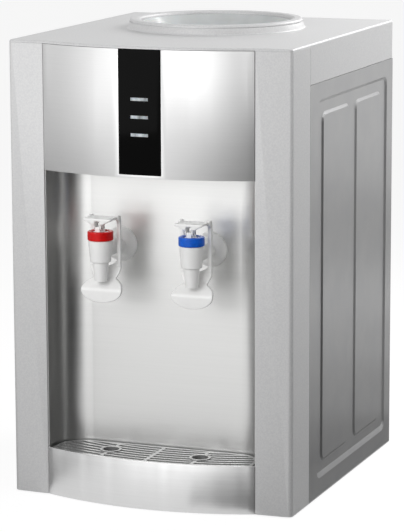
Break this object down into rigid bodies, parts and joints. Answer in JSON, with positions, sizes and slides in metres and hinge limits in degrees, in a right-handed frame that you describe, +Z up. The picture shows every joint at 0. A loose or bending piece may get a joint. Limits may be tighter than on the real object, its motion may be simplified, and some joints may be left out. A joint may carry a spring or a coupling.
{
  "type": "tabletop water dispenser",
  "caption": "Tabletop hot and cold water dispenser with a collar for an upturned bottle, push-lever taps and a bowed drip tray with a grille.",
  "frame": {"origin": "middle of the whole footprint, on the table under the feet", "axes": "+Z up, front with the taps towards -Y, +X to the right seen from the front"},
  "size_m": [0.3, 0.3621, 0.474],
  "materials": {
    "silver_shell": "silver-grey moulded ABS, satin",
    "satin_silver": "silver-painted ABS, satin",
    "grey_cover": "light grey moulded ABS, fine texture",
    "black_gloss": "gloss black acrylic",
    "light_guide": "frosted clear light guide",
    "circuit_board": "green board with parts",
    "stainless": "brushed stainless sheet",
    "silver_grille": "silver-painted grille",
    "painted_steel": "grey powder coat",
    "galvanised": "zinc coated steel",
    "base_plastic": "grey polypropylene",
    "rubber": "black rubber",
    "seat_plastic": "pale grey polypropylene",
    "white_plastic": "glossy white ABS",
    "red_plastic": "glossy red ABS",
    "blue_plastic": "glossy blue ABS",
    "green_plastic": "glossy green rocker",
    "silicone": "translucent silicone",
    "spring_steel": "stainless wire",
    "foam": "rigid insulating foam",
    "aluminium": "plain aluminium",
    "ceramic_module": "ceramic faced module",
    "black_plastic": "black nylon"
  },
  "bodies": {
    "cabinet": {"base_plate": "base_plastic", "cold_block": "aluminium", "cold_tank": "seat_plastic", "cold_tank_foam": "foam", "cold_tap_body": "white_plastic", "cold_tap_bonnet": "white_plastic", "cold_tap_hose": "silicone", "cold_tap_ring": "blue_plastic", "cold_tap_spring": "spring_steel", "cord_gland": "rubber", "drain_hose": "silicone", "drain_outlet": "base_plastic", "fan_frame": "black_plastic", "feed_hose": "silicone", "feet": "rubber", "front_bezel": "silver_shell", "heat_sink": "aluminium", "heater_band": "stainless", "hot_tank": "stainless", "hot_tank_foam": "foam", "hot_tank_stand": "galvanised", "hot_tap_body": "white_plastic", "hot_tap_bonnet": "white_plastic", "hot_tap_hose": "silicone", "hot_tap_ring": "red_plastic", "hot_tap_spring": "spring_steel", "indicator_board": "circuit_board", "indicator_lenses": "light_guide", "indicator_strip": "black_gloss", "left_side_panel": "painted_steel", "power_board": "circuit_board", "rear_panel": "painted_steel", "right_side_panel": "painted_steel", "screws": "galvanised", "switch_frames": "black_plastic", "tank_seal": "rubber", "tank_shelf": "galvanised", "tap_nuts": "white_plastic", "tap_panel": "stainless", "tap_rosettes": "white_plastic", "thermo_module": "ceramic_module", "thermostats": "aluminium", "top_cover": "grey_cover", "upper_panel": "satin_silver"},
    "drip_tray": {"drip_tray": "satin_silver"},
    "drip_grille": {"drip_grille": "silver_grille"},
    "bottle_seat": {"bottle_seat": "seat_plastic"},
    "hot_lever": {"hot_lever": "white_plastic", "hot_lever_pins": "spring_steel"},
    "cold_lever": {"cold_lever": "white_plastic", "cold_lever_pins": "spring_steel"},
    "hot_stem": {"hot_tap_stem": "white_plastic", "hot_tap_seal": "silicone"},
    "cold_stem": {"cold_tap_stem": "white_plastic", "cold_tap_seal": "silicone"},
    "fan_rotor": {"fan_rotor": "black_plastic"},
    "drain_cap": {"drain_cap": "black_plastic"},
    "hot_switch": {"hot_switch": "red_plastic"},
    "cold_switch": {"cold_switch": "green_plastic"}
  },
  "joints": [
    {"name": "tray_slide", "type": "slide", "parent": "cabinet", "child": "drip_tray", "axis": [0, -1, 0], "range_m": [0, 0.11]},
    {"name": "grille_lift", "type": "slide", "parent": "drip_tray", "child": "drip_grille", "axis": [0, 0, 1], "range_m": [0, 0.03]},
    {"name": "seat_lift", "type": "slide", "parent": "cabinet", "child": "bottle_seat", "axis": [0, 0, 1], "range_m": [0, 0.06]},
    {"name": "hot_lever_push", "type": "hinge", "parent": "cabinet", "child": "hot_lever", "pos_m": [-0.0485, -0.1729, 0.2815], "axis": [1, 0, 0], "range_deg": [0, 12], "stiffness_Nm_per_rad": 1.2, "springref_deg": -4.58},
    {"name": "hot_stem_lift", "type": "slide", "parent": "cabinet", "child": "hot_stem", "axis": [0, 0, 1], "range_m": [0, 0.0013], "deforming": ["hot_tap_spring"]},
    {"name": "cold_lever_push", "type": "hinge", "parent": "cabinet", "child": "cold_lever", "pos_m": [0.0485, -0.1729, 0.2815], "axis": [1, 0, 0], "range_deg": [0, 12], "stiffness_Nm_per_rad": 1.2, "springref_deg": -4.58},
    {"name": "cold_stem_lift", "type": "slide", "parent": "cabinet", "child": "cold_stem", "axis": [0, 0, 1], "range_m": [0, 0.0013], "deforming": ["cold_tap_spring"]},
    {"name": "fan_spin", "type": "hinge", "parent": "cabinet", "child": "fan_rotor", "pos_m": [0, 0.1536, 0.323], "axis": [0, 1, 0], "continuous": true},
    {"name": "drain_cap_turn", "type": "hinge", "parent": "cabinet", "child": "drain_cap", "pos_m": [-0.0485, 0.1741, 0.02], "axis": [0, 1, 0], "range_deg": [0, 1080]},
    {"name": "hot_switch_rock", "type": "hinge", "parent": "cabinet", "child": "hot_switch", "pos_m": [0.1, 0.1636, 0.105], "axis": [-1, 0, 0], "range_deg": [0, 14]},
    {"name": "cold_switch_rock", "type": "hinge", "parent": "cabinet", "child": "cold_switch", "pos_m": [0.1, 0.1636, 0.07], "axis": [-1, 0, 0], "range_deg": [0, 14]}
  ],
  "couplings": [
    {"joint": "hot_stem_lift", "follows": "hot_lever_push", "m_per_rad": 0.006},
    {"joint": "cold_stem_lift", "follows": "cold_lever_push", "m_per_rad": 0.006}
  ]
}
